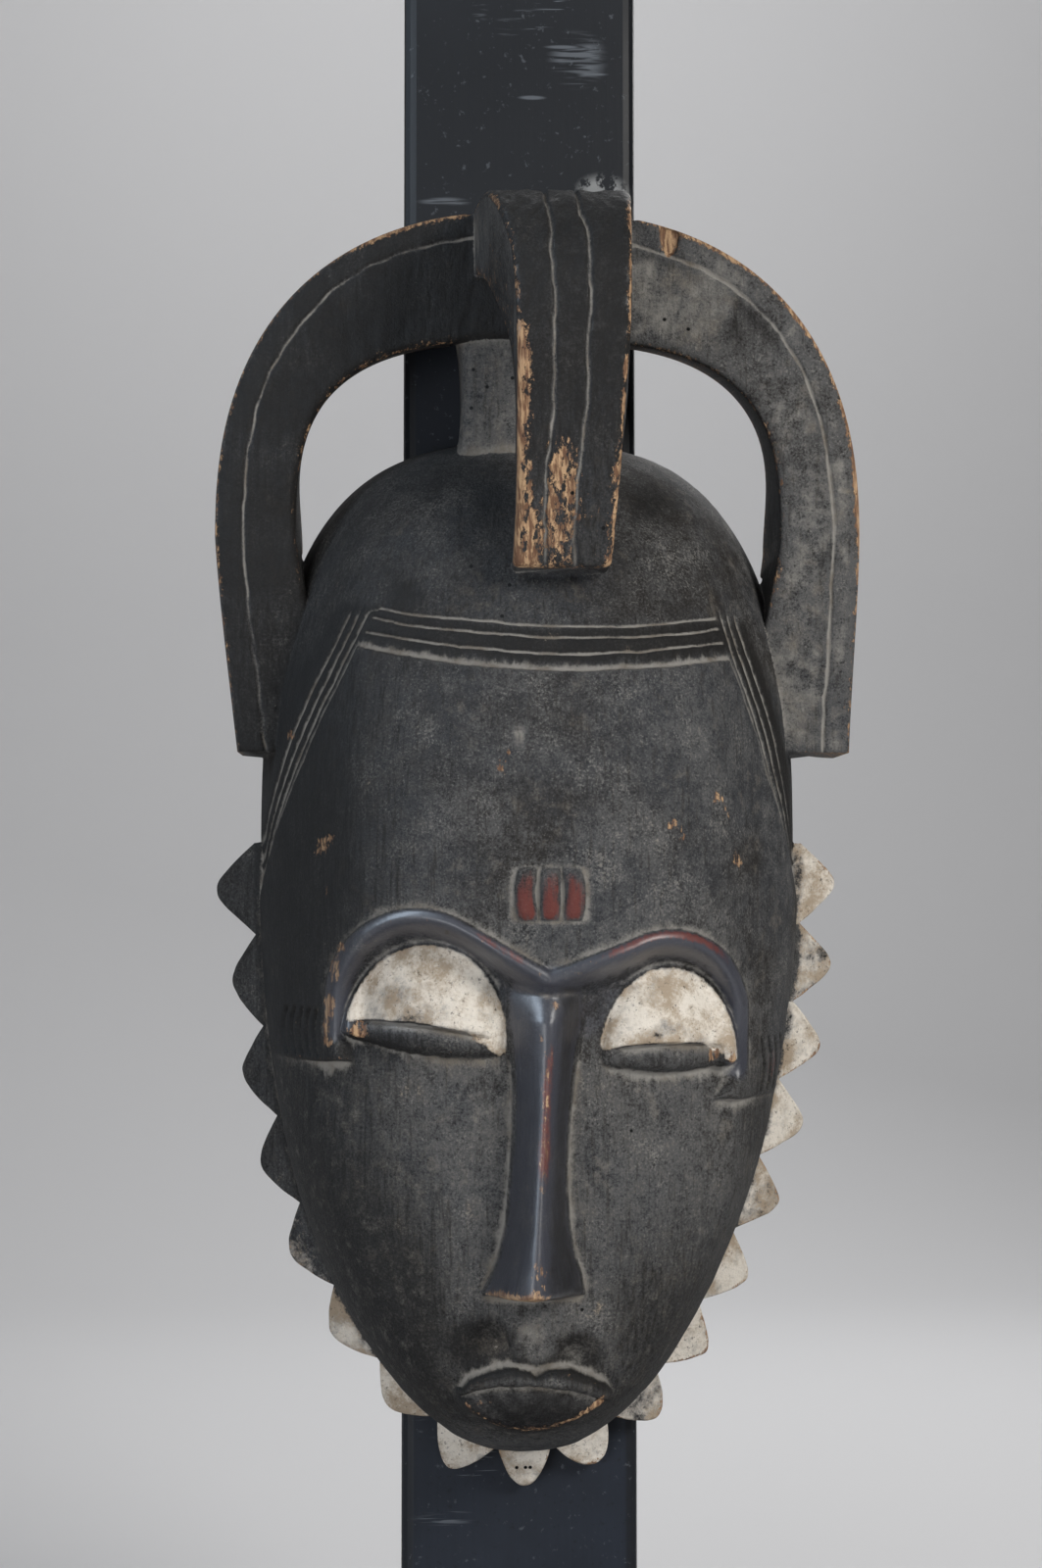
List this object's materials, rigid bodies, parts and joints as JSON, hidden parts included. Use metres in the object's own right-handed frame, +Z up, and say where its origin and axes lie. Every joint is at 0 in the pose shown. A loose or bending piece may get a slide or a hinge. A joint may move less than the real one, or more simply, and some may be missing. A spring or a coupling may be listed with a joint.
{
  "type": "carved wood face mask on a display post",
  "caption": "Carved dark wood face mask with arched crest and toothed collar, held on a painted upright post with a foot plate.",
  "frame": {"origin": "centre of the foot plate's underside, on the floor", "axes": "+Z up along the post, -Y the way the mask looks, +X to the right of someone who faces the mask"},
  "size_m": [0.24, 0.24, 0.6323],
  "materials": {
    "carved_wood": "dark worn patina with dust in the cuts, white kaolin on lids and teeth, and bare wood at the edges",
    "post_paint": "slate blue paint, satin, scuffed",
    "base_paint": "slate blue paint, satin"
  },
  "bodies": {
    "root": {"mask": "carved_wood", "post": "post_paint", "base": "base_paint"}
  },
  "joints": []
}
